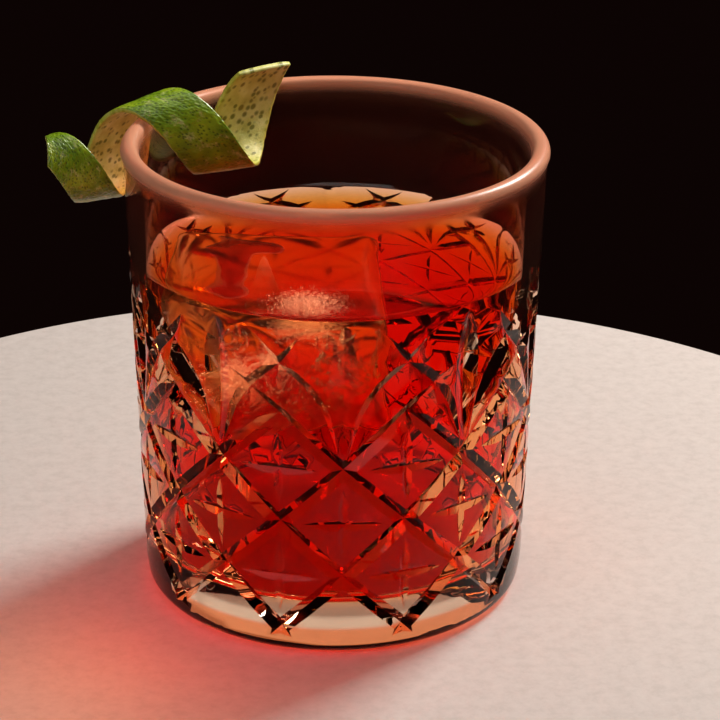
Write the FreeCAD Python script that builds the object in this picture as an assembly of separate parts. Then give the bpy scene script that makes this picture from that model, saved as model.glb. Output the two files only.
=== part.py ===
"""A negroni in a cut glass tumbler, with a twist of lime peel hung on the rim.

Frame: millimetres, +Z up, origin at the middle of the base, which stands on Z = 0.
The front of the glass faces -Y. Nodes: glass, drink, lime_twist.
"""
import FreeCAD, Part
import math
import os

V = FreeCAD.Vector

# ---- tumbler: the turned form ------------------------------------------------
GLASS_HEIGHT = 96.0
RIM_RADIUS = 43.0          # outside of the rounded lip
LIP_THICKNESS = 3.6
LIP_FLARE = 0.55           # the lip stands this far proud of the wall
WALL_TAPER = 2.65          # the wall's foot is this much narrower than its top
WALL_THICKNESS = 3.5
HEEL_RADIUS = 3.0
HEEL_HEIGHT = 5.3
HEEL_INSET = 0.35          # the heel is turned back this far behind the wall
BASE_THICKNESS = 10.6
CAVITY_CORNER_RADIUS = 3.0

# ---- tumbler: the cut pattern ------------------------------------------------
COLUMNS = 10               # repeats of the pattern round the wall
ROW_FOOT = 5.9             # height of the lowest crossings
ROW_STEP = 11.9            # height from one row of crossings to the next
ROWS = 4                   # steps from the lowest crossings to the top ones
FOOT_RUN_OUT = 2.4         # a lattice cut fades out this far below the lowest crossing
GROOVE_DEPTH = 1.25
GROOVE_WIDTH = 3.4
STEPS_PER_ROW = 2          # straight runs of a lattice cut from one row to the next
STAR_REACH = 8.0           # from a star's middle to the tip of an arm
STAR_DEPTH = 0.8
STAR_WIDTH = 2.6
LEAF_DEPTH = 1.4
CENTRE_LEAF_WIDTH = 6.0
SIDE_LEAF_WIDTH = 5.2
SIDE_LEAF_LEAN = 0.34      # share of a side leaf's width that lies above its bottom line
CUTTER_LIFT = 1.0          # the cutters stand this far proud of the wall

# Bottom lines of a fan's leaves: degrees round from the fan's middle, height above
# the crossing that the fan springs from, and share of the full depth.
CENTRE_LEAF = [(0, 3.0, 0), (0, 10.5, 0.7), (0, 18.0, 1), (0, 25.0, 0.8), (0, 31.0, 0)]
INNER_LEAF = [(1.5, 3.4, 0), (5.5, 12.0, 0.7), (10.6, 17.3, 1), (16.2, 20.8, 1),
              (20.5, 24.2, 0.7), (24.0, 28.4, 0)]
OUTER_LEAF = [(8.0, 5.9, 0), (13.0, 9.0, 0.8), (18.0, 11.7, 1), (23.5, 14.8, 1),
              (28.0, 17.8, 0.65), (31.6, 20.2, 0)]

# ---- drink -------------------------------------------------------------------
DRINK_LEVEL = 71.6

# ---- lime twist: a peel coiled about a slanting axis that crosses the rim ----
PEEL_THICKNESS = 1.1
PEEL_WIDTH = 12.5          # along the coil's axis, at the crest over the rim
PEEL_WIDTH_GAIN = 3.7      # gain of that width with each turn
COIL_BEARING = 154.2       # degrees round from +X to the coil's middle
COIL_INSET = 2.85          # the coil's middle lies this far inside the rim's crest
COIL_DROP = 5.52           # and this far below the top of the glass
COIL_YAW = 24.8            # the axis, in degrees from +X towards +Y
COIL_TILT = 6.2            # and its rise towards the inside of the glass
COIL_RADIUS = 9.1          # to the middle of the peel, at the crest over the rim
COIL_RADIUS_GAIN = 0.8     # gain of the radius with each turn
COIL_END_FLARE = 1.5       # gain of the radius with the cube of the turns
COIL_CONE = 0.12           # gain of the radius across the peel
COIL_FLATTENING = 0.74     # front to back radius against the upright one
COIL_PITCH = 29.5
COIL_PITCH_GAIN = 4.2
COIL_PHASE = 23.0
COIL_START = -0.02         # in turns; turn 1 is the crest over the rim
COIL_START_SHEAR = -0.28   # slant of the first cut, in turns over the peel's width
COIL_END = 1.81
COIL_END_SHEAR = -0.06
COIL_FADE = 0.2            # share of the peel over which a slanting cut straightens
COIL_SECTIONS = 24

rim_crest_radius = RIM_RADIUS - LIP_THICKNESS / 2
wall_top_radius = RIM_RADIUS - LIP_FLARE
wall_foot_radius = wall_top_radius - WALL_TAPER
shoulder_height = GLASS_HEIGHT - LIP_THICKNESS
half_column = math.pi / COLUMNS


def wall_radius(height):
    """Outside radius of the uncut wall."""
    share = (height - HEEL_HEIGHT) / (shoulder_height - HEEL_HEIGHT)
    return wall_foot_radius + WALL_TAPER * share


def cavity_radius(height):
    """Inside radius of the wall."""
    return wall_radius(height) - WALL_THICKNESS


def line(x1, z1, x2, z2):
    return Part.LineSegment(V(x1, 0, z1), V(x2, 0, z2)).toShape()


def arc(x1, z1, x2, z2, x3, z3):
    return Part.Arc(V(x1, 0, z1), V(x2, 0, z2), V(x3, 0, z3)).toShape()


def turned(edges):
    """Turns a closed outline in the XZ plane about the Z axis."""
    face = Part.Face(Part.Wire(edges))
    return face.revolve(V(0, 0, 0), V(0, 0, 1), 360)


def cavity_foot():
    """Edges of the cavity from its middle to its wall, and the point they end at."""
    centre_z = BASE_THICKNESS + CAVITY_CORNER_RADIUS
    wall_x = cavity_radius(centre_z)
    centre_x = wall_x - CAVITY_CORNER_RADIUS
    bend = CAVITY_CORNER_RADIUS * math.sqrt(0.5)
    edges = [
        line(0, BASE_THICKNESS, centre_x, BASE_THICKNESS),
        arc(centre_x, BASE_THICKNESS, centre_x + bend, centre_z - bend, wall_x, centre_z),
    ]
    return edges, (wall_x, centre_z)


def plain_tumbler():
    lip = LIP_THICKNESS / 2
    lip_z = GLASS_HEIGHT - lip
    inner_lip = RIM_RADIUS - LIP_THICKNESS
    inside_top = cavity_radius(shoulder_height)
    heel_x = wall_foot_radius - HEEL_INSET
    foot = heel_x - HEEL_RADIUS
    bend = HEEL_RADIUS * math.sqrt(0.5)
    cavity, wall_start = cavity_foot()
    outline = cavity + [
        line(*wall_start, inside_top, shoulder_height),
        line(inside_top, shoulder_height, inner_lip, lip_z),
        arc(inner_lip, lip_z, rim_crest_radius, GLASS_HEIGHT, RIM_RADIUS, lip_z),
        line(RIM_RADIUS, lip_z, wall_top_radius, shoulder_height),
        line(wall_top_radius, shoulder_height, wall_foot_radius, HEEL_HEIGHT),
        line(wall_foot_radius, HEEL_HEIGHT, heel_x, HEEL_RADIUS),
        arc(heel_x, HEEL_RADIUS, foot + bend, HEEL_RADIUS - bend, foot, 0),
        line(foot, 0, 0, 0),
        line(0, 0, 0, BASE_THICKNESS),
    ]
    return turned(outline)


def outward(angle):
    """Unit vector out of the wall; angle 0 is the front, and it grows to the right."""
    return V(math.sin(angle), -math.cos(angle), 0)


def on_wall(angle, height, depth):
    """Point at a depth below the wall's surface."""
    point = outward(angle) * (wall_radius(height) - depth)
    point.z = height
    return point


def polygon(*points):
    return Part.Face(Part.makePolygon(list(points) + [points[0]]))


def cutter(stations, depth, widths):
    """A V-shaped cutter whose bottom runs through (angle, height, depth) stations.

    widths are the cut's half widths above and below its bottom line, at the given
    depth. Its sides are flat facets between triangular sections at the stations.
    """
    heading = 1 if stations[-1][0] >= stations[0][0] else -1
    upper, lower = (width / depth for width in widths)
    bottoms = [on_wall(*station) for station in stations]
    sections = []
    for i, (angle, _, local_depth) in enumerate(stations):
        along = bottoms[min(i + 1, len(bottoms) - 1)] - bottoms[max(i - 1, 0)]
        out = outward(angle)
        across = out.cross(along).normalize() * heading
        rise = local_depth + CUTTER_LIFT
        sections.append((bottoms[i], bottoms[i] + (out + across * upper) * rise,
                         bottoms[i] + (out - across * lower) * rise))
    faces = [polygon(*sections[0]), polygon(*sections[-1])]
    for first, last in zip(sections, sections[1:]):
        for k in range(3):
            corner = (k + 1) % 3
            faces.append(polygon(first[k], last[k], last[corner]))
            faces.append(polygon(first[k], last[corner], first[corner]))
    solid = Part.makeSolid(Part.makeShell(faces))
    if solid.Volume < 0:
        solid.reverse()
    return solid


def lattice_cutters():
    """Slanting cuts both ways from each of the lowest crossings to the top row."""
    widths = (GROOVE_WIDTH / 2, GROOVE_WIDTH / 2)
    cutters = []
    for column in range(COLUMNS):
        foot = (2 * column + 1) * half_column
        for way in (1, -1):
            run_out = way * half_column * FOOT_RUN_OUT / ROW_STEP
            stations = [(foot - run_out, ROW_FOOT - FOOT_RUN_OUT, 0)]
            for step in range(ROWS * STEPS_PER_ROW + 1):
                rows = step / STEPS_PER_ROW
                stations.append((foot + way * half_column * rows,
                                 ROW_FOOT + ROW_STEP * rows, GROOVE_DEPTH))
            cutters.append(cutter(stations, GROOVE_DEPTH, widths))
    return cutters


def star_cutters():
    """A four-armed star in the middle of each diamond of the lattice."""
    widths = (STAR_WIDTH / 2, STAR_WIDTH / 2)
    cutters = []
    for row in range(1, ROWS):
        height = ROW_FOOT + ROW_STEP * row
        for column in range(COLUMNS):
            middle = (2 * column + row % 2) * half_column
            turn = STAR_REACH / wall_radius(height)
            across = [(middle - turn, height, 0), (middle + turn, height, 0)]
            upright = [(middle, height + STAR_REACH * share, STAR_DEPTH * (1 - share ** 2))
                       for share in (-1, -0.5, 0.5, 1)]
            cutters.append(cutter(across, STAR_DEPTH, widths))
            cutters.append(cutter(upright, STAR_DEPTH, widths))
    return cutters


def rounded(stations):
    """The stations with one more between each two, on a cubic curve through four."""
    first = [2 * a - b for a, b in zip(stations[0], stations[1])]
    last = [2 * a - b for a, b in zip(stations[-1], stations[-2])]
    run = [first] + stations + [last]
    finer = [stations[0]]
    for i in range(1, len(run) - 2):
        finer.append(tuple((9 * (b + c) - a - d) / 16 for a, b, c, d in zip(*run[i - 1:i + 3])))
        finer.append(run[i + 1])
    return finer


def leaf_cutter(middle, way, bottom_line, widths):
    """One leaf of a fan, springing from a crossing and leaning one way."""
    root = ROW_FOOT + ROW_STEP * (ROWS - 1)
    stations = [(middle + way * math.radians(turn), root + rise, LEAF_DEPTH * share)
                for turn, rise, share in rounded(bottom_line)]
    return cutter(stations, LEAF_DEPTH, widths)


def fan_cutters():
    """A fan of leaves over each column, with outer leaves only where they pass.

    At each top crossing one of two outer leaves passes over the other's groove: the
    one that leans away from the front of the glass.
    """
    centre = (CENTRE_LEAF_WIDTH / 2, CENTRE_LEAF_WIDTH / 2)
    side = (SIDE_LEAF_WIDTH * SIDE_LEAF_LEAN, SIDE_LEAF_WIDTH * (1 - SIDE_LEAF_LEAN))
    cutters = []
    for column in range(COLUMNS):
        middle = 2 * column * half_column
        cutters.append(leaf_cutter(middle, 1, CENTRE_LEAF, centre))
        for way in (1, -1):
            cutters.append(leaf_cutter(middle, way, INNER_LEAF, side))
            if math.sin(middle + way * half_column) * way > 0:
                cutters.append(leaf_cutter(middle, way, OUTER_LEAF, side))
    return cutters


def cut_tumbler():
    cutters = lattice_cutters() + star_cutters() + fan_cutters()
    return plain_tumbler().cut(cutters)


def drink_body():
    """The drink, from the cavity's floor up to its level, against the wall."""
    surface = cavity_radius(DRINK_LEVEL)
    cavity, wall_start = cavity_foot()
    outline = cavity + [
        line(*wall_start, surface, DRINK_LEVEL),
        line(surface, DRINK_LEVEL, 0, DRINK_LEVEL),
        line(0, DRINK_LEVEL, 0, BASE_THICKNESS),
    ]
    return turned(outline)


def coil_axes():
    """The coil's axis, its upright direction and its direction to the front."""
    yaw = math.radians(COIL_YAW)
    tilt = math.radians(COIL_TILT)
    axis = V(math.cos(yaw) * math.cos(tilt), math.sin(yaw) * math.cos(tilt), math.sin(tilt))
    front = axis.cross(V(0, 0, 1)).normalize()
    return axis, front.cross(axis), front


def coil_point(turn, across, lift):
    """Point of the peel: turns along the coil, place across the peel, height off its middle."""
    axis, up, front = coil_axes()
    bearing = math.radians(COIL_BEARING)
    middle_radius = rim_crest_radius - COIL_INSET
    middle = V(middle_radius * math.cos(bearing), middle_radius * math.sin(bearing),
               GLASS_HEIGHT - COIL_DROP)
    gone = turn - 1
    offset = across * (PEEL_WIDTH + PEEL_WIDTH_GAIN * gone)
    advance = COIL_PITCH * gone + COIL_PITCH_GAIN * gone ** 2 + offset
    radius = (COIL_RADIUS + COIL_RADIUS_GAIN * gone + COIL_END_FLARE * gone ** 3
              + COIL_CONE * offset)
    angle = math.radians(COIL_PHASE + 360 * turn)
    return (middle + axis * advance + up * ((radius + lift) * math.cos(angle))
            + front * ((radius * COIL_FLATTENING + lift) * math.sin(angle)))


def peel_section(share):
    """Closed outline across the peel at a share of its length."""
    turn = COIL_START + (COIL_END - COIL_START) * share
    shear = (COIL_START_SHEAR * max(0, 1 - share / COIL_FADE)
             + COIL_END_SHEAR * max(0, 1 - (1 - share) / COIL_FADE))
    places = (-0.5, -0.25, 0, 0.25, 0.5)
    rows = [[coil_point(turn + shear * place, place, lift) for place in places]
            for lift in (PEEL_THICKNESS / 2, -PEEL_THICKNESS / 2)]
    skin, pith = rows[0], rows[1][::-1]
    edges = []
    for row, after in ((skin, pith), (pith, skin)):
        curve = Part.BSplineCurve()
        curve.interpolate(row)
        edges.append(curve.toShape())
        edges.append(Part.LineSegment(row[-1], after[0]).toShape())
    return Part.Wire(edges)


def lime_peel():
    sections = [peel_section(i / (COIL_SECTIONS - 1)) for i in range(COIL_SECTIONS)]
    sides = Part.makeLoft(sections, False, False).Faces
    cuts = [Part.makeRuledSurface(section.Edges[0], section.Edges[2].reversed())
            for section in (sections[0], sections[-1])]
    shell = Part.makeShell(sides + cuts)
    shell.sewShape()
    peel = Part.makeSolid(shell)
    if peel.Volume < 0:
        peel.reverse()
    return peel


def write(name, shape):
    os.makedirs("parts", exist_ok=True)
    shape.exportStep("parts/" + name + ".step")
    print(name, shape.ShapeType, len(shape.Solids), "solids,", len(shape.Faces), "faces,",
          round(shape.Volume), "mm3, valid", shape.isValid())


write("glass", cut_tumbler())
write("drink", drink_body())
write("lime_twist", lime_peel())
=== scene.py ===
"""Looks of a negroni in a cut glass tumbler, with a twist of lime peel on its rim.

Metres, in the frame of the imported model: +Z up, the base on Z = 0, the front faces -Y.
"""
import math
import random

import bmesh
import bpy
from mathutils import Matrix, Vector, noise


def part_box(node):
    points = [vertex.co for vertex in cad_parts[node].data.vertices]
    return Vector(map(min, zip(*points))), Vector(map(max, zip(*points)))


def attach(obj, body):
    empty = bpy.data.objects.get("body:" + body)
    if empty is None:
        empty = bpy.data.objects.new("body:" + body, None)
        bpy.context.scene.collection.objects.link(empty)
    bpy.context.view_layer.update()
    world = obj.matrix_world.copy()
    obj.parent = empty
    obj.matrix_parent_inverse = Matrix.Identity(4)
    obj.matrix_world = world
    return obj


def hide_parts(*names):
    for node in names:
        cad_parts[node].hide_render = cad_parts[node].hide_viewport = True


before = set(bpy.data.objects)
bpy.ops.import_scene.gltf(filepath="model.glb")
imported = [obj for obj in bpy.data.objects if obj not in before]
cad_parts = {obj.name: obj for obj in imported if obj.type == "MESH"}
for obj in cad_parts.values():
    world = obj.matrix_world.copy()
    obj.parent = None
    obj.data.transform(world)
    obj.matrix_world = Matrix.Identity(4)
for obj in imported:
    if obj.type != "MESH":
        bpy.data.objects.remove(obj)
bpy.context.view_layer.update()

MM = 0.001

# ---- camera ------------------------------------------------------------------
CAMERA_PLACE = (-0.02295, -0.5114, 0.2696)
CAMERA_YAW = 3.16          # degrees from +Y towards +X
CAMERA_PITCH = 23.44       # degrees below the horizon
CAMERA_ROLL = 0.49
CAMERA_LENS = 134.7
CAMERA_SENSOR = 36.0

# ---- stage and light -----------------------------------------------------------
FLOOR_RADIUS = 0.150
FLOOR_SIDES = 256
FLOOR_THICKNESS = 0.012
FLOOR_GAP = 0.1 * MM       # air under the glass, so that its base mirrors as it should
FLOOR_ROUGHNESS = 0.75
FLOOR_GRAIN = {"Scale": 320.0, "Detail": 6.0, "Roughness": 0.7}
FLOOR_TONES = [(0.36, (0.50, 0.437, 0.398)),
               (0.50, (0.54, 0.473, 0.434)),
               (0.66, (0.57, 0.503, 0.461))]
LAMPS = [                  # name, place, height aimed at, size, power and colour
    ("key", (0.42, 0.38, 0.55), 0.04, (0.24, 0.24), 8.2, (1.0, 0.95, 0.90)),
    ("top", (-0.05, 0.02, 0.75), 0.05, (0.45, 0.30), 0.65, (1.0, 0.96, 0.93)),
    ("fill", (-0.36, -0.42, 0.42), 0.07, (0.30, 0.30), 0.75, (1.0, 0.97, 0.95)),
]
AMBIENT = (1.0, 0.97, 0.94, 1)
AMBIENT_STRENGTH = 0.06
BACKDROP = (0.0035, 0.0012, 0.0010, 1)
MAX_BOUNCES = 24
TRANSMISSION_BOUNCES = 20
GLOSSY_BOUNCES = 8
TRANSPARENT_BOUNCES = 24

# ---- glass and drink, as the model has them ----------------------------------
WALL_TAPER = 2.65 * MM
TAPER_FOOT = 5.3 * MM      # heights between which the wall tapers
TAPER_TOP = 92.4 * MM
GLASS_TOP = 96.0 * MM
CAVITY_CORNER = 3.0 * MM
DRINK_REACH = 0.15 * MM    # the drink reaches this far into the wall

# ---- looks of the glass ----------------------------------------------------------
GLASS_IOR = 1.51
DRINK_IOR = 1.35
GLASS_MIRROR = 0.15        # share of its reflection that the outside keeps
GLASS_SHADE = (0.69, 0.44, 0.39)   # colour that one pass through it gives lamplight
CLEAR_SHADE = (0.97, 0.97, 0.97)
WELD = 0.002 * MM          # vertices this near are one
WET_SLACK = 0.02 * MM      # faces this near the cavity's own shape are its wall
CUT_NEARNESS = 1e-7
SHARP_EDGE = 30.0          # degrees
# Painted light, not a tint of the glass: a painted red glow on the heel, a pale band over the
# foot under a painted dark band, and a painted red glow up the wall, paler higher up and
# orange-pink at the lip. The glow stands in for the drink's red light that the glass carries and
# casts.
GLASS_PAINTED_GLOW_AND_SHADE = [             # share of the glass's height, and the colour painted there
    (0.062, (1.0, 0.20, 0.07)), (0.071, (0.84, 0.72, 0.66)),
    (0.088, (0.84, 0.72, 0.66)), (0.098, (0.26, 0.15, 0.12)),
    (0.116, (0.30, 0.15, 0.11)), (0.140, (1.0, 0.34, 0.13)),
    (0.480, (1.0, 0.40, 0.18)), (0.660, (1.0, 0.74, 0.60)),
    (0.920, (1.0, 0.42, 0.30)), (0.980, (1.0, 0.44, 0.26)),
]
# share of the glass's height, and how clear it is there; it is less clear towards the lip, so
# more of the painted glow shows
GLASS_CLARITY = [(0.60, 1), (0.76, 0.996), (0.93, 0.993), (0.970, 0.980), (0.988, 0.46)]
LIP_ROUGHNESS = [(0.94, 0), (0.975, 0.28)]

# ---- looks of the drink ----------------------------------------------------------
ABSORPTION_COLOUR = (0.984, 0.700, 0.0, 1)
ABSORPTION_DENSITY = 210.0
MENISCUS_RISE = 1.3 * MM
MENISCUS_REACH = 1.5 * MM
MENISCUS_SPAN = 4          # the meniscus is followed over this many of its reaches
MENISCUS_STEPS = 14
CORNER_STEPS = 12
WALL_STEPS = 24
DRINK_FLOOR_RINGS = (0.25, 0.5, 0.75, 1)       # shares of the flat floor's radius
DRINK_LEVEL_RINGS = (0.85, 0.7, 0.5, 0.3, 0.15)
DRINK_AROUND = 192
SURFACE_LIFT = 0.01 * MM   # the surface's own skin lies this far over the drink

# ---- ice ---------------------------------------------------------------------
ICE_MIDDLE = Vector((-0.0125, -0.0095, 0.0588))
ICE_HALF = Vector((0.0215, 0.0265, 0.0122))
ICE_ROUNDING = 4.0 * MM
ICE_CUTS = 31
ICE_WALL_GAP = 0.8 * MM
ICE_CAVITY_GAP = 0.06 * MM
BROAD_WEAR = 1.6           # mm, depth of the melted waves, over the block and finer ones
BROAD_WEAR_SCALE = 1.1
BROAD_WEAR_SHIFT = Vector((3, 1, 7))
FINE_WEAR = 0.45
FINE_WEAR_SCALE = 3.4
ICE_IOR = 1.31
ICE_IN_DRINK_IOR = 0.945   # lower than the true ratio, so that its edges show
ICE_ROUGHNESS = 0.30

# ---- what the ice holds --------------------------------------------------------
CLOUD_SEED = 11
CLOUDS = [                 # middle, half sizes and number of flecks of each cloud
    (Vector((-0.0065, -0.0205, 0.0655)), Vector((0.0078, 0.0070, 0.0042)), 3600),
    (Vector((-0.0205, -0.0235, 0.0530)), Vector((0.0080, 0.0055, 0.0055)), 3600),
]
CLOUD_SPREAD = 0.42
CLOUD_LIMIT = 1.25         # no fleck lies further out than this, in half sizes
FLECK_SIZE = (0.06 * MM, 0.15 * MM)
FLECK_LENGTH = (0.7, 2.2)  # against the fleck's size
FLECK_WIDTH = (0.7, 1.4)
# milky white with a painted peach glow, for the drink's light that the clouds catch
FLECK_WHITE_AND_PAINTED_GLOW = (1.0, 0.74, 0.60, 1)
FLECK_ALPHA = 0.32
FLECK_ROUGHNESS = 0.9
FLECK_MIRROR = 0.1
BUBBLE_SEED = 23
BUBBLES = 420
BUBBLE_SIZE = (0.15 * MM, 0.50 * MM)
BUBBLE_START = -0.030      # X of the band of bubbles, which climbs to the right
BUBBLE_RUN = 0.036
BUBBLE_CLIMB = 11.0        # mm
BUBBLE_BAND_Z = 0.058      # height at which the band's radius is taken
BUBBLE_INSET = 2.6 * MM
BUBBLE_FOOT = 2.0          # mm over the block's underside, where the band starts
BUBBLE_SCATTER = (0.8, 2.0, 2.4)   # mm along X, away from the wall and in height
BUBBLE_SHRINK = 0.4        # the smallest share of its size that a bubble keeps
THREADS = 46
THREAD_PLACES = (-0.0035, 0.0015, 0.0060, -0.0200)
THREAD_BAND_Z = 0.062
THREAD_INSET = 3.5 * MM
THREAD_SCATTER = (0.7, 1.5)        # mm along X and away from the wall
THREAD_HEIGHTS = (0.0600, 0.0675)
THREAD_WIDTH = (0.16, 0.34)        # mm
THREAD_LENGTH = (0.8, 2.6)         # mm
THREAD_LEAN = 0.12         # radians

# ---- lime twist, as the model has it -------------------------------------------
PEEL_THICKNESS = 1.1 * MM
PEEL_WIDTH = 12.5 * MM     # along the coil's axis, at the crest over the rim
PEEL_WIDTH_GAIN = 3.7 * MM
RIM_CREST_RADIUS = 41.2    # mm
RIM_CREST_HEIGHT = 96.0    # mm
COIL_INSET = 2.85          # mm from the rim's crest to the coil's middle, inwards and down
COIL_DROP = 5.52
COIL_MIDDLE_RADIUS = (RIM_CREST_RADIUS - COIL_INSET) * MM
COIL_MIDDLE_HEIGHT = (RIM_CREST_HEIGHT - COIL_DROP) * MM
COIL_BEARING = 154.2
COIL_YAW = 24.8
COIL_TILT = 6.2
COIL_RADIUS = 9.1 * MM
COIL_RADIUS_GAIN = 0.8 * MM
COIL_END_FLARE = 1.5 * MM
COIL_CONE = 0.12
COIL_FLATTENING = 0.74
COIL_PITCH = 29.5 * MM
COIL_PITCH_GAIN = 4.2 * MM
COIL_PHASE = 23.0
COIL_START = -0.02
COIL_START_SHEAR = -0.28
COIL_END = 1.81
COIL_END_SHEAR = -0.06
COIL_FADE = 0.2

# ---- looks of the lime twist -----------------------------------------------------
PEEL_ALONG = 420           # quads along the peel and across it
PEEL_ACROSS = 44
EDGE_SHARPNESS = 10        # power by which what is done to the edges dies off inwards
EDGE_THINNING = 0.30
EDGE_WAVER = [(900, 5, 0.018), (2600, 9, 0.010)]   # scale, seed and share of the width
EDGE_WAVER_ACROSS = 3
SIDE_SHIFT = 0.02          # keeps the skin's relief apart from the pith's
BROAD_RELIEF = (350, 0.16)           # scale, and height in mm
SKIN_RELIEF = (1500, 0.09)
PITH_RELIEF = (900, 0.06)
SKIN_GLOSS = {"Roughness": 0.36, "Coat_Weight": 0.25, "Coat_Roughness": 0.25}
SKIN_BROAD = {"Scale": 130.0, "Detail": 3.0}
SKIN_PATCH = {"Scale": 330.0, "Detail": 8.0, "Roughness": 0.72}
SKIN_PITS = {"Scale": 1350.0}
SKIN_BUMP = {"Strength": 0.9, "Distance": 0.15 * MM}
SKIN_TONES = [(0.30, (0.085, 0.170, 0.003)),
              (0.50, (0.205, 0.340, 0.004)),
              (0.72, (0.400, 0.520, 0.010))]
SCUFF_COLOUR = (0.66, 0.64, 0.26)
SCUFFS = [(0.54, 0), (0.66, 0.65)]
PORE_COLOUR = (0.050, 0.095, 0.003)
PORES = [(0.12, 0.85), (0.42, 0)]
PITH_GLOSS = {"Roughness": 0.5, "Subsurface_Weight": 0.25,
              "Subsurface_Radius": (1.0, 0.8, 0.3), "Subsurface_Scale": 0.8 * MM}
PITH_CLOUD = {"Scale": 240.0, "Detail": 4.0}
PITH_GLANDS = {"Scale": 760.0, "Randomness": 0.80}
PITH_GRAIN = {"Scale": 2600.0, "Detail": 2.0}
PITH_BUMP = {"Strength": 0.5, "Distance": 0.15 * MM}
PITH_TONES = [(0.30, (0.52, 0.50, 0.10)),
              (0.50, (0.70, 0.68, 0.20)),
              (0.72, (0.86, 0.84, 0.38))]
GLAND_COLOUR = (0.17, 0.18, 0.006)
GLANDS = [(0.55, 0.85), (1.0, 0)]
GLAND_REACH = (0.36, 0.54)
PITH_EDGE_COLOUR = (0.48, 0.50, 0.030)
PITH_EDGE = (0.40, 0.50)   # shares of the width between which the edge's colour comes in
PITH_EDGE_STRENGTH = 0.75


# ---- meshes and objects ----------------------------------------------------------
def smooth(mesh):
    mesh.polygons.foreach_set("use_smooth", [True] * len(mesh.polygons))
    mesh.update()


def new_mesh(name, bm):
    """A mesh with what the bmesh holds. The bmesh is used up."""
    mesh = bpy.data.meshes.new(name)
    bm.to_mesh(mesh)
    bm.free()
    return mesh


def add_object(name, mesh, *materials):
    for material in materials:
        mesh.materials.append(material)
    obj = bpy.data.objects.new(name, mesh)
    bpy.context.scene.collection.objects.link(obj)
    return obj


def add_rings(bm, profile, around):
    """Rings of vertices of a profile turned about Z, with the faces between them."""
    rings = []
    for radius, height in profile:
        turns = [2 * math.pi * k / around for k in range(around)]
        rings.append([bm.verts.new((radius * math.cos(turn), radius * math.sin(turn), height))
                      for turn in turns])
    for lower, upper in zip(rings, rings[1:]):
        for k in range(around):
            after = (k + 1) % around
            bm.faces.new((lower[k], lower[after], upper[after], upper[k]))
    return rings


def add_lid(bm, ring, height, turned=False):
    """A fan of faces from a ring to a point on the axis."""
    middle = bm.verts.new((0, 0, height))
    for k in range(len(ring)):
        after = (k + 1) % len(ring)
        corners = (ring[after], ring[k]) if turned else (ring[k], ring[after])
        bm.faces.new((*corners, middle))


# ---- nodes -------------------------------------------------------------------
def add_node(tree, kind, **values):
    """A node with inputs or settings given by name. A socket given for an input is linked."""
    node = tree.nodes.new(kind)
    for key, value in values.items():
        name = key.replace("_", " ")
        if name not in node.inputs:
            setattr(node, key, value)
        elif isinstance(value, bpy.types.NodeSocket):
            tree.links.new(value, node.inputs[name])
        else:
            node.inputs[name].default_value = value
    return node


def maths(tree, operation, *values):
    """The result of a Math node on numbers or sockets."""
    node = add_node(tree, "ShaderNodeMath", operation=operation)
    for socket, value in zip(node.inputs, values):
        if isinstance(value, bpy.types.NodeSocket):
            tree.links.new(value, socket)
        else:
            socket.default_value = value
    return node.outputs["Value"]


def coordinate(tree, kind):
    return tree.nodes.new("ShaderNodeTexCoord").outputs[kind]


def part_of(tree, vector, axis):
    return add_node(tree, "ShaderNodeSeparateXYZ", Vector=vector).outputs[axis]


def ramp(tree, source, stops):
    """A colour ramp. A stop's value is a colour, or one number for a grey."""
    node = add_node(tree, "ShaderNodeValToRGB", Fac=source)
    elements = node.color_ramp.elements
    while len(elements) < len(stops):
        elements.new(0.5)
    for element, (place, value) in zip(elements, stops):
        element.position = place
        element.color = (*value, 1) if isinstance(value, tuple) else (value, value, value, 1)
    return node.outputs["Color"]


def mixed(tree, factor, first, second):
    """A mix of two colours: the first is a socket, the second a colour."""
    node = add_node(tree, "ShaderNodeMix", data_type="RGBA")
    tree.links.new(factor, node.inputs["Factor"])
    colours = [socket for socket in node.inputs if socket.type == "RGBA"]
    tree.links.new(first, colours[0])
    colours[1].default_value = (*second, 1)
    return [socket for socket in node.outputs if socket.type == "RGBA"][0]


def new_material(name, **values):
    """A material with a Principled shader, whose inputs are set or linked by name."""
    material = bpy.data.materials.new(name)
    material.use_nodes = True
    tree = material.node_tree
    shader = tree.nodes["Principled BSDF"]
    for key, value in values.items():
        shader.inputs[key.replace("_", " ")].default_value = value
    return material, tree, shader


def let_lamps_through(tree, shader, shade):
    """Lamps shine straight through clear matter, tinted, as its caustics would on average."""
    mix = add_node(tree, "ShaderNodeMixShader",
                   Fac=tree.nodes.new("ShaderNodeLightPath").outputs["Is Shadow Ray"])
    through = add_node(tree, "ShaderNodeBsdfTransparent", Color=(*shade, 1))
    tree.links.new(shader.outputs[0], mix.inputs[1])
    tree.links.new(through.outputs[0], mix.inputs[2])
    tree.links.new(mix.outputs[0], tree.nodes["Material Output"].inputs["Surface"])


# ---- materials ---------------------------------------------------------------
def clear_material(name, ior, mirror=1.0, shade=CLEAR_SHADE):
    """Clear matter whose index is given against what is on its other side."""
    material, tree, shader = new_material(
        name, IOR=ior, Transmission_Weight=1.0, Roughness=0.0, Base_Color=(1, 1, 1, 1),
        Specular_Tint=(mirror, mirror, mirror, 1))
    let_lamps_through(tree, shader, shade)
    return material, tree, shader


def glass_material():
    """The tumbler's outside: clear, with a painted red glow for the light that runs up the wall
    from the drink to the lip, a painted red glow on the heel and a painted dark band over the
    foot.
    """
    material, tree, shader = clear_material("glass", GLASS_IOR, GLASS_MIRROR, GLASS_SHADE)
    height = part_of(tree, coordinate(tree, "Object"), "Z")
    share = maths(tree, "DIVIDE", height, GLASS_TOP)
    for name, stops in (("Base Color", GLASS_PAINTED_GLOW_AND_SHADE), ("Transmission Weight", GLASS_CLARITY),
                        ("Roughness", LIP_ROUGHNESS)):
        tree.links.new(ramp(tree, share, stops), shader.inputs[name])
    return material


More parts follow.
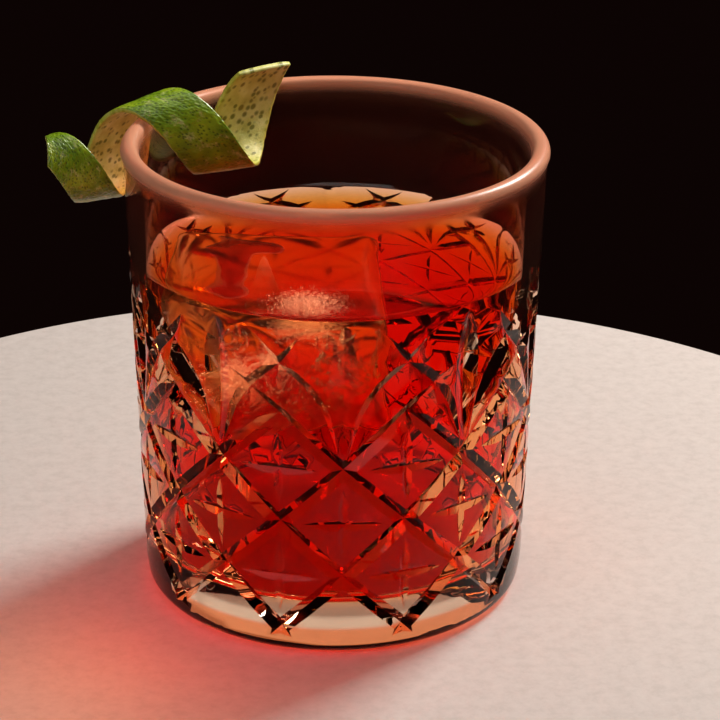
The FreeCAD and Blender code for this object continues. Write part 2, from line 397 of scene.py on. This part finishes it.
def drink_material():
    """The drink's body: no edge of its own, and it takes out green and blue with depth."""
    material, tree, _ = clear_material("drink", 1.0, shade=(1, 1, 1))
    absorb = add_node(tree, "ShaderNodeVolumeAbsorption", Color=ABSORPTION_COLOUR,
                      Density=ABSORPTION_DENSITY)
    tree.links.new(absorb.outputs["Volume"], tree.nodes["Material Output"].inputs["Volume"])
    return material


def relative_glass(name, ior, roughness=0.0):
    """Clear matter inside other clear matter: its index is given against what is round it."""
    material, tree, shader = new_material(name)
    tree.nodes.remove(shader)
    clear = add_node(tree, "ShaderNodeBsdfGlass", IOR=ior, Roughness=roughness)
    let_lamps_through(tree, clear, CLEAR_SHADE)
    return material


def fleck_material():
    """The milky flecks that make up the clouds in the ice, white with a painted peach glow for
    the drink's light they catch.
    """
    material, _, _ = new_material("ice_cloud", Base_Color=FLECK_WHITE_AND_PAINTED_GLOW,
                                  Roughness=FLECK_ROUGHNESS,
                                  Specular_IOR_Level=FLECK_MIRROR, Alpha=FLECK_ALPHA)
    return material


def skin_material():
    """Lime skin: fine oil pits, deep and bright greens, and pale scuffed patches."""
    material, tree, shader = new_material("lime_skin", **SKIN_GLOSS)
    place = coordinate(tree, "UV")
    broad = add_node(tree, "ShaderNodeTexNoise", Vector=place, **SKIN_BROAD)
    patch = add_node(tree, "ShaderNodeTexNoise", Vector=place, **SKIN_PATCH)
    pits = add_node(tree, "ShaderNodeTexVoronoi", Vector=place, **SKIN_PITS)
    green = ramp(tree, broad.outputs["Fac"], SKIN_TONES)
    green = mixed(tree, ramp(tree, patch.outputs["Fac"], SCUFFS), green, SCUFF_COLOUR)
    green = mixed(tree, ramp(tree, pits.outputs["Distance"], PORES), green, PORE_COLOUR)
    tree.links.new(green, shader.inputs["Base Color"])
    bump = add_node(tree, "ShaderNodeBump", Height=pits.outputs["Distance"], **SKIN_BUMP)
    tree.links.new(bump.outputs["Normal"], shader.inputs["Normal"])
    return material


def pith_material():
    """Pith: pale, damp and soft, with the olive ends of the oil glands showing through."""
    material, tree, shader = new_material("lime_pith", **PITH_GLOSS)
    place = coordinate(tree, "UV")
    cloud = add_node(tree, "ShaderNodeTexNoise", Vector=place, **PITH_CLOUD)
    glands = add_node(tree, "ShaderNodeTexVoronoi", Vector=place, **PITH_GLANDS)
    fine = add_node(tree, "ShaderNodeTexNoise", Vector=place, **PITH_GRAIN)
    pale = ramp(tree, cloud.outputs["Fac"], PITH_TONES)
    size = add_node(tree, "ShaderNodeSeparateColor", Color=glands.outputs["Color"])
    reach = add_node(tree, "ShaderNodeMapRange", Value=size.outputs["Red"],
                     To_Min=GLAND_REACH[0], To_Max=GLAND_REACH[1])
    ratio = maths(tree, "DIVIDE", glands.outputs["Distance"], reach.outputs["Result"])
    pale = mixed(tree, ramp(tree, ratio, GLANDS), pale, GLAND_COLOUR)
    edge = add_node(tree, "ShaderNodeMapRange",
                    Value=maths(tree, "ABSOLUTE", part_of(tree, place, "Y")),
                    From_Min=PEEL_WIDTH * PITH_EDGE[0], From_Max=PEEL_WIDTH * PITH_EDGE[1],
                    To_Max=PITH_EDGE_STRENGTH)
    pale = mixed(tree, edge.outputs["Result"], pale, PITH_EDGE_COLOUR)
    tree.links.new(pale, shader.inputs["Base Color"])
    bump = add_node(tree, "ShaderNodeBump", Height=fine.outputs["Fac"], **PITH_BUMP)
    tree.links.new(bump.outputs["Normal"], shader.inputs["Normal"])
    return material


def floor_material():
    """Pale matt plaster with a faint grain."""
    material, tree, shader = new_material("floor", Roughness=FLOOR_ROUGHNESS)
    grains = add_node(tree, "ShaderNodeTexNoise", Vector=coordinate(tree, "Object"),
                      **FLOOR_GRAIN)
    tree.links.new(ramp(tree, grains.outputs["Fac"], FLOOR_TONES), shader.inputs["Base Color"])
    return material


# ---- drink -------------------------------------------------------------------
drink_low, drink_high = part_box("drink")
FLOOR_Z = drink_low.z
LEVEL_Z = drink_high.z


def cavity_radius(height):
    """Inside radius of the glass, from the drink's own box and the wall's taper."""
    slope = WALL_TAPER / (TAPER_TOP - TAPER_FOOT)
    return drink_high.x - slope * (LEVEL_Z - height)


def surface_profile():
    """(radius, height) of the drink's surface, from the wall down the meniscus and inwards."""
    edge = cavity_radius(LEVEL_Z)
    span = MENISCUS_REACH * MENISCUS_SPAN
    points = []
    for i in range(MENISCUS_STEPS + 1):
        gap = span * (i / MENISCUS_STEPS) ** 2
        points.append((edge - gap, LEVEL_Z + MENISCUS_RISE * math.exp(-gap / MENISCUS_REACH)))
    return points + [((edge - span) * share, LEVEL_Z) for share in DRINK_LEVEL_RINGS]


def drink_profile():
    """(radius, height) from the middle of the floor up the wall and back over the surface."""
    corner_z = FLOOR_Z + CAVITY_CORNER
    corner_r = cavity_radius(corner_z) - CAVITY_CORNER
    reach = CAVITY_CORNER + DRINK_REACH
    points = [(corner_r * share, FLOOR_Z - DRINK_REACH) for share in DRINK_FLOOR_RINGS]
    for i in range(1, CORNER_STEPS + 1):
        turn = math.pi / 2 * i / CORNER_STEPS
        points.append((corner_r + reach * math.sin(turn), corner_z - reach * math.cos(turn)))
    top = LEVEL_Z + MENISCUS_RISE
    for i in range(1, WALL_STEPS + 1):
        height = corner_z + (top - corner_z) * i / WALL_STEPS
        points.append((cavity_radius(height) + DRINK_REACH, height))
    return points + surface_profile()


def ice_bmesh(gap):
    """A block of ice: a cube mapped to a rounded block, worn by melting and kept off the wall."""
    bm = bmesh.new()
    bmesh.ops.create_cube(bm, size=2)
    bmesh.ops.subdivide_edges(bm, edges=bm.edges, cuts=ICE_CUTS, use_grid_fill=True)
    core = ICE_HALF - Vector((ICE_ROUNDING,) * 3)
    for vert in bm.verts:
        spot = vert.co.copy()
        place = Vector(half * c for half, c in zip(ICE_HALF, spot))
        inner = Vector(max(-c, min(c, p)) for c, p in zip(core, place))
        off = place - inner
        if off.length > 0:
            place = inner + off.normalized() * ICE_ROUNDING
        normal = off.normalized() if off.length else spot.normalized()
        broad = noise.noise(spot * BROAD_WEAR_SCALE + BROAD_WEAR_SHIFT) * BROAD_WEAR * MM
        fine = noise.noise(spot * FINE_WEAR_SCALE) * FINE_WEAR * MM
        place += normal * (broad + fine - gap)
        place += ICE_MIDDLE
        limit = cavity_radius(place.z) - ICE_WALL_GAP - gap
        reach = math.hypot(place.x, place.y)
        if reach > limit:
            place.x *= limit / reach
            place.y *= limit / reach
        vert.co = place
    return bm


def make_drink(material):
    """The drink's body, with a hollow where the ice is."""
    hollow_bm = ice_bmesh(ICE_CAVITY_GAP)
    bmesh.ops.reverse_faces(hollow_bm, faces=hollow_bm.faces)
    hollow = new_mesh("hollow", hollow_bm)
    bm = bmesh.new()
    profile = drink_profile()
    rings = add_rings(bm, profile, DRINK_AROUND)
    add_lid(bm, rings[0], profile[0][1], turned=True)
    add_lid(bm, rings[-1], profile[-1][1])
    bm.from_mesh(hollow)
    bpy.data.meshes.remove(hollow)
    mesh = new_mesh("negroni_drink", bm)
    smooth(mesh)
    drink = add_object("negroni_drink", mesh, material)
    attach(drink, "root")
    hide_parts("drink")


def make_surface(material):
    """The drink's skin against the air, just over the body of the drink."""
    bm = bmesh.new()
    profile = [(radius, height + SURFACE_LIFT) for radius, height in surface_profile()]
    rings = add_rings(bm, profile, DRINK_AROUND)
    add_lid(bm, rings[-1], profile[-1][1])
    mesh = new_mesh("drink_surface", bm)
    smooth(mesh)
    piece = add_object("drink_surface", mesh, material)
    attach(piece, "root")


# ---- glass -------------------------------------------------------------------
def in_cavity(face):
    """True if a face of the glass lies on the cavity's wall or floor."""
    return all(math.hypot(vert.co.x, vert.co.y) < cavity_radius(vert.co.z) + WET_SLACK
               and vert.co.z > FLOOR_Z - WET_SLACK for vert in face.verts)


def make_glass(dry, wet):
    """The tumbler on the model's own mesh, its inside split where the drink wets it."""
    bm = bmesh.new()
    bm.from_mesh(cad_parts["glass"].data)
    bmesh.ops.remove_doubles(bm, verts=bm.verts, dist=WELD)
    wet_top = LEVEL_Z + MENISCUS_RISE
    faces = [face for face in bm.faces if in_cavity(face)]
    geometry = set(faces)
    for face in faces:
        geometry.update(face.edges)
        geometry.update(face.verts)
    bmesh.ops.bisect_plane(bm, geom=list(geometry), dist=CUT_NEARNESS,
                           plane_co=(0, 0, wet_top), plane_no=(0, 0, 1))
    for face in bm.faces:
        face.smooth = True
        if in_cavity(face) and face.calc_center_median().z < wet_top:
            face.material_index = 1
    sharp = math.radians(SHARP_EDGE)
    for edge in bm.edges:
        edge.smooth = len(edge.link_faces) == 2 and edge.calc_face_angle() < sharp
    mesh = new_mesh("tumbler", bm)
    mesh.materials.clear()
    piece = add_object("tumbler", mesh, dry, wet)
    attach(piece, "root")
    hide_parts("glass")


# ---- ice and what it holds -------------------------------------------------------
def make_ice(material):
    """The block of ice that fills the hollow in the drink."""
    mesh = new_mesh("ice_block", ice_bmesh(0))
    smooth(mesh)
    ice = add_object("ice_block", mesh, material)
    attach(ice, "root")


def grain(middle, sizes, turn=Matrix.Identity(4)):
    """Place of a small rounded body: a unit ball stretched to sizes, turned and moved."""
    return Matrix.Translation(middle) @ turn @ Matrix.Diagonal((*sizes, 1))


def add_grains(name, grains, material):
    """All the grains as one joined piece that stands in the ice."""
    ball = bmesh.new()
    bmesh.ops.create_icosphere(ball, subdivisions=1, radius=1)
    ball.verts.index_update()
    corners = [vert.co.copy() for vert in ball.verts]
    faces = [[vert.index for vert in face.verts] for face in ball.faces]
    ball.free()
    points, polygons = [], []
    for place in grains:
        first = len(points)
        points += [place @ corner for corner in corners]
        polygons += [[first + k for k in face] for face in faces]
    mesh = bpy.data.meshes.new(name)
    mesh.from_pydata(points, [], polygons)
    smooth(mesh)
    piece = add_object(name, mesh, material)
    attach(piece, "root")


def make_clouds(material):
    """The ice's cloudy cores: clouds of tiny flecks, thickest in their middles."""
    rng = random.Random(CLOUD_SEED)
    grains = []
    for middle, half, count in CLOUDS:
        for _ in range(count):
            away = Vector(rng.gauss(0, CLOUD_SPREAD) for _ in range(3))
            if away.length > CLOUD_LIMIT:
                continue
            size = rng.uniform(*FLECK_SIZE)
            sizes = (size * rng.uniform(*FLECK_LENGTH), size * rng.uniform(*FLECK_WIDTH), size)
            turn = Matrix.Rotation(rng.uniform(0, math.pi), 4,
                                   Vector((rng.random(), rng.random(), 1)))
            spot = middle + Vector(h * a for h, a in zip(half, away))
            grains.append(grain(spot, sizes, turn))
    add_grains("ice_clouds", grains, material)


def make_bubbles(material):
    """Air in the ice: bubbles along its lower front edges, and upright threads."""
    rng = random.Random(BUBBLE_SEED)
    low = ICE_MIDDLE.z - ICE_HALF.z
    grains = []
    for _ in range(BUBBLES):
        along = rng.random()
        x = BUBBLE_START + BUBBLE_RUN * along + rng.gauss(0, BUBBLE_SCATTER[0]) * MM
        reach = cavity_radius(BUBBLE_BAND_Z) - BUBBLE_INSET
        inwards = abs(rng.gauss(0, BUBBLE_SCATTER[1])) * MM
        y = inwards - math.sqrt(max(reach ** 2 - x ** 2, 0))
        z = low + (BUBBLE_FOOT + BUBBLE_CLIMB * along + rng.gauss(0, BUBBLE_SCATTER[2])) * MM
        size = rng.uniform(*BUBBLE_SIZE) * rng.uniform(BUBBLE_SHRINK, 1)
        grains.append(grain(Vector((x, y, max(z, low + MM))), (size,) * 3))
    for _ in range(THREADS):
        x = rng.choice(THREAD_PLACES) + rng.gauss(0, THREAD_SCATTER[0]) * MM
        reach = cavity_radius(THREAD_BAND_Z) - THREAD_INSET
        inwards = abs(rng.gauss(0, THREAD_SCATTER[1])) * MM
        y = inwards - math.sqrt(reach ** 2 - x ** 2)
        z = rng.uniform(*THREAD_HEIGHTS)
        size = rng.uniform(*THREAD_WIDTH) * MM
        sizes = (size, size, rng.uniform(*THREAD_LENGTH) * MM)
        turn = Matrix.Rotation(rng.gauss(0, THREAD_LEAN), 4, "Y")
        grains.append(grain(Vector((x, y, z)), sizes, turn))
    add_grains("ice_bubbles", grains, material)


# ---- lime twist ----------------------------------------------------------------
def coil_point(turn, across, lift):
    """Point of the peel: turns along the coil, place across it, height off its middle."""
    yaw, tilt, bearing = (math.radians(a) for a in (COIL_YAW, COIL_TILT, COIL_BEARING))
    axis = Vector((math.cos(yaw) * math.cos(tilt), math.sin(yaw) * math.cos(tilt),
                   math.sin(tilt)))
    front = axis.cross(Vector((0, 0, 1))).normalized()
    up = front.cross(axis)
    middle = Vector((COIL_MIDDLE_RADIUS * math.cos(bearing),
                     COIL_MIDDLE_RADIUS * math.sin(bearing), COIL_MIDDLE_HEIGHT))
    gone = turn - 1
    offset = across * (PEEL_WIDTH + PEEL_WIDTH_GAIN * gone)
    advance = COIL_PITCH * gone + COIL_PITCH_GAIN * gone ** 2 + offset
    radius = (COIL_RADIUS + COIL_RADIUS_GAIN * gone + COIL_END_FLARE * gone ** 3
              + COIL_CONE * offset)
    angle = math.radians(COIL_PHASE + 360 * turn)
    return (middle + axis * advance + up * ((radius + lift) * math.cos(angle))
            + front * ((radius * COIL_FLATTENING + lift) * math.sin(angle)))


def relief(spot, scale_and_height):
    """Height of a noise relief at a spot of the peel."""
    scale, height = scale_and_height
    return noise.noise(spot * scale) * height * MM


def peel_ring(share):
    """(point, UV place) round the peel's section at a share of its length.

    The skin's half comes first, then the pith's. The two cut edges are rounded a little
    and waver as a knife leaves them.
    """
    turn = COIL_START + (COIL_END - COIL_START) * share
    shear = (COIL_START_SHEAR * max(0, 1 - share / COIL_FADE)
             + COIL_END_SHEAR * max(0, 1 - (1 - share) / COIL_FADE))
    length = turn * 2 * math.pi * COIL_RADIUS
    ring = []
    for side, own_relief in ((1, SKIN_RELIEF), (-1, PITH_RELIEF)):
        for k in range(PEEL_ACROSS + 1):
            across = side * (k / PEEL_ACROSS - 0.5)
            edge = (abs(across) * 2) ** EDGE_SHARPNESS
            waver = sum(size * noise.noise(Vector((length * scale, across * EDGE_WAVER_ACROSS,
                                                   seed)))
                        for scale, seed, size in EDGE_WAVER)
            place = across * (1 + waver * edge)
            spot = Vector((length, place * PEEL_WIDTH, SIDE_SHIFT * side))
            rise = relief(spot, BROAD_RELIEF) + relief(spot, own_relief)
            half = PEEL_THICKNESS / 2 * (1 - EDGE_THINNING * edge)
            lift = side * (half + rise * (1 - edge))
            ring.append((coil_point(turn + shear * place, place, lift),
                         (length, place * PEEL_WIDTH)))
    return ring


def make_peel(skin, pith):
    """The peel: skin on the coil's outside, pith on its inside and on the cut edges."""
    bm = bmesh.new()
    uv_layer = bm.loops.layers.uv.new("UVMap")
    rings, places = [], []
    for i in range(PEEL_ALONG + 1):
        ring = peel_ring(i / PEEL_ALONG)
        rings.append([bm.verts.new(point) for point, _ in ring])
        places.append([place for _, place in ring])
    around = len(rings[0])
    skin_faces = around // 2 - 1

    def add_face(corners, material):
        face = bm.faces.new([rings[i][k] for i, k in corners])
        face.material_index = material
        for loop, (i, k) in zip(face.loops, corners):
            loop[uv_layer].uv = places[i][k]

    for i in range(PEEL_ALONG):
        for k in range(around):
            after = (k + 1) % around
            add_face([(i, k), (i + 1, k), (i + 1, after), (i, after)],
                     0 if k < skin_faces else 1)
    for i, turned in ((0, False), (PEEL_ALONG, True)):
        for k in range(skin_faces):
            corners = [(i, k), (i, k + 1), (i, around - 2 - k), (i, around - 1 - k)]
            add_face(corners[::-1] if turned else corners, 1)
    bmesh.ops.recalc_face_normals(bm, faces=bm.faces)
    mesh = new_mesh("lime_twist_peel", bm)
    smooth(mesh)
    peel = add_object("lime_twist_peel", mesh, skin, pith)
    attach(peel, "root")
    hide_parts("lime_twist")


# ---- stage, light and camera ---------------------------------------------------
def make_stage():
    """A pale round table top under the glass."""
    bm = bmesh.new()
    bmesh.ops.create_cone(bm, cap_ends=True, segments=FLOOR_SIDES, radius1=FLOOR_RADIUS,
                          radius2=FLOOR_RADIUS, depth=FLOOR_THICKNESS)
    bmesh.ops.translate(bm, verts=bm.verts, vec=(0, 0, -FLOOR_THICKNESS / 2 - FLOOR_GAP))
    mesh = new_mesh("floor", bm)
    add_object("floor", mesh, floor_material())


def make_world():
    """Dark where it is seen, also through the glass, and pale where it only lights."""
    world = bpy.data.worlds.new("studio")
    world.use_nodes = True
    tree = world.node_tree
    pale = tree.nodes["Background"]
    pale.inputs["Color"].default_value = AMBIENT
    pale.inputs["Strength"].default_value = AMBIENT_STRENGTH
    dark = add_node(tree, "ShaderNodeBackground", Color=BACKDROP)
    path = tree.nodes.new("ShaderNodeLightPath")
    seen = maths(tree, "LESS_THAN", path.outputs["Diffuse Depth"], 0.5)
    mix = add_node(tree, "ShaderNodeMixShader", Fac=seen)
    tree.links.new(pale.outputs[0], mix.inputs[1])
    tree.links.new(dark.outputs[0], mix.inputs[2])
    tree.links.new(mix.outputs[0], tree.nodes["World Output"].inputs["Surface"])
    bpy.context.scene.world = world


def make_lights():
    """A key lamp behind on the right, a weak one overhead and a weak one in front."""
    for name, place, aim_height, size, power, colour in LAMPS:
        data = bpy.data.lights.new(name, "AREA")
        data.shape = "RECTANGLE"
        data.size, data.size_y = size
        data.energy = power
        data.color = colour
        lamp = bpy.data.objects.new(name, data)
        bpy.context.scene.collection.objects.link(lamp)
        lamp.location = place
        aim = Vector((0, 0, aim_height)) - Vector(place)
        lamp.rotation_euler = aim.to_track_quat("-Z", "Y").to_euler()


def make_camera():
    """The camera in front, looking down at the glass."""
    yaw, pitch, roll = (math.radians(a) for a in (CAMERA_YAW, CAMERA_PITCH, CAMERA_ROLL))
    ahead = Vector((math.sin(yaw) * math.cos(pitch), math.cos(yaw) * math.cos(pitch),
                    -math.sin(pitch)))
    right = Vector((math.cos(yaw), -math.sin(yaw), 0))
    up = right.cross(ahead)
    across = right * math.cos(roll) + up * math.sin(roll)
    upright = up * math.cos(roll) - right * math.sin(roll)
    data = bpy.data.cameras.new("camera")
    data.lens = CAMERA_LENS
    data.sensor_width = CAMERA_SENSOR
    camera = bpy.data.objects.new("camera", data)
    bpy.context.scene.collection.objects.link(camera)
    axes = Matrix((across, upright, -ahead)).transposed()
    camera.matrix_world = Matrix.Translation(CAMERA_PLACE) @ axes.to_4x4()
    bpy.context.scene.camera = camera


def main():
    scene = bpy.context.scene
    scene.view_settings.view_transform = "Standard"
    scene.cycles.max_bounces = MAX_BOUNCES
    scene.cycles.transmission_bounces = TRANSMISSION_BOUNCES
    scene.cycles.glossy_bounces = GLOSSY_BOUNCES
    scene.cycles.transparent_max_bounces = TRANSPARENT_BOUNCES
    make_stage()
    make_world()
    make_lights()
    make_camera()
    wet, _, _ = clear_material("glass_wet", GLASS_IOR / DRINK_IOR)
    make_glass(glass_material(), wet)
    make_drink(drink_material())
    surface, _, _ = clear_material("drink_surface", DRINK_IOR)
    make_surface(surface)
    make_ice(relative_glass("ice", ICE_IN_DRINK_IOR, ICE_ROUGHNESS))
    make_clouds(fleck_material())
    make_bubbles(relative_glass("ice_air", 1 / ICE_IOR))
    make_peel(skin_material(), pith_material())


main()
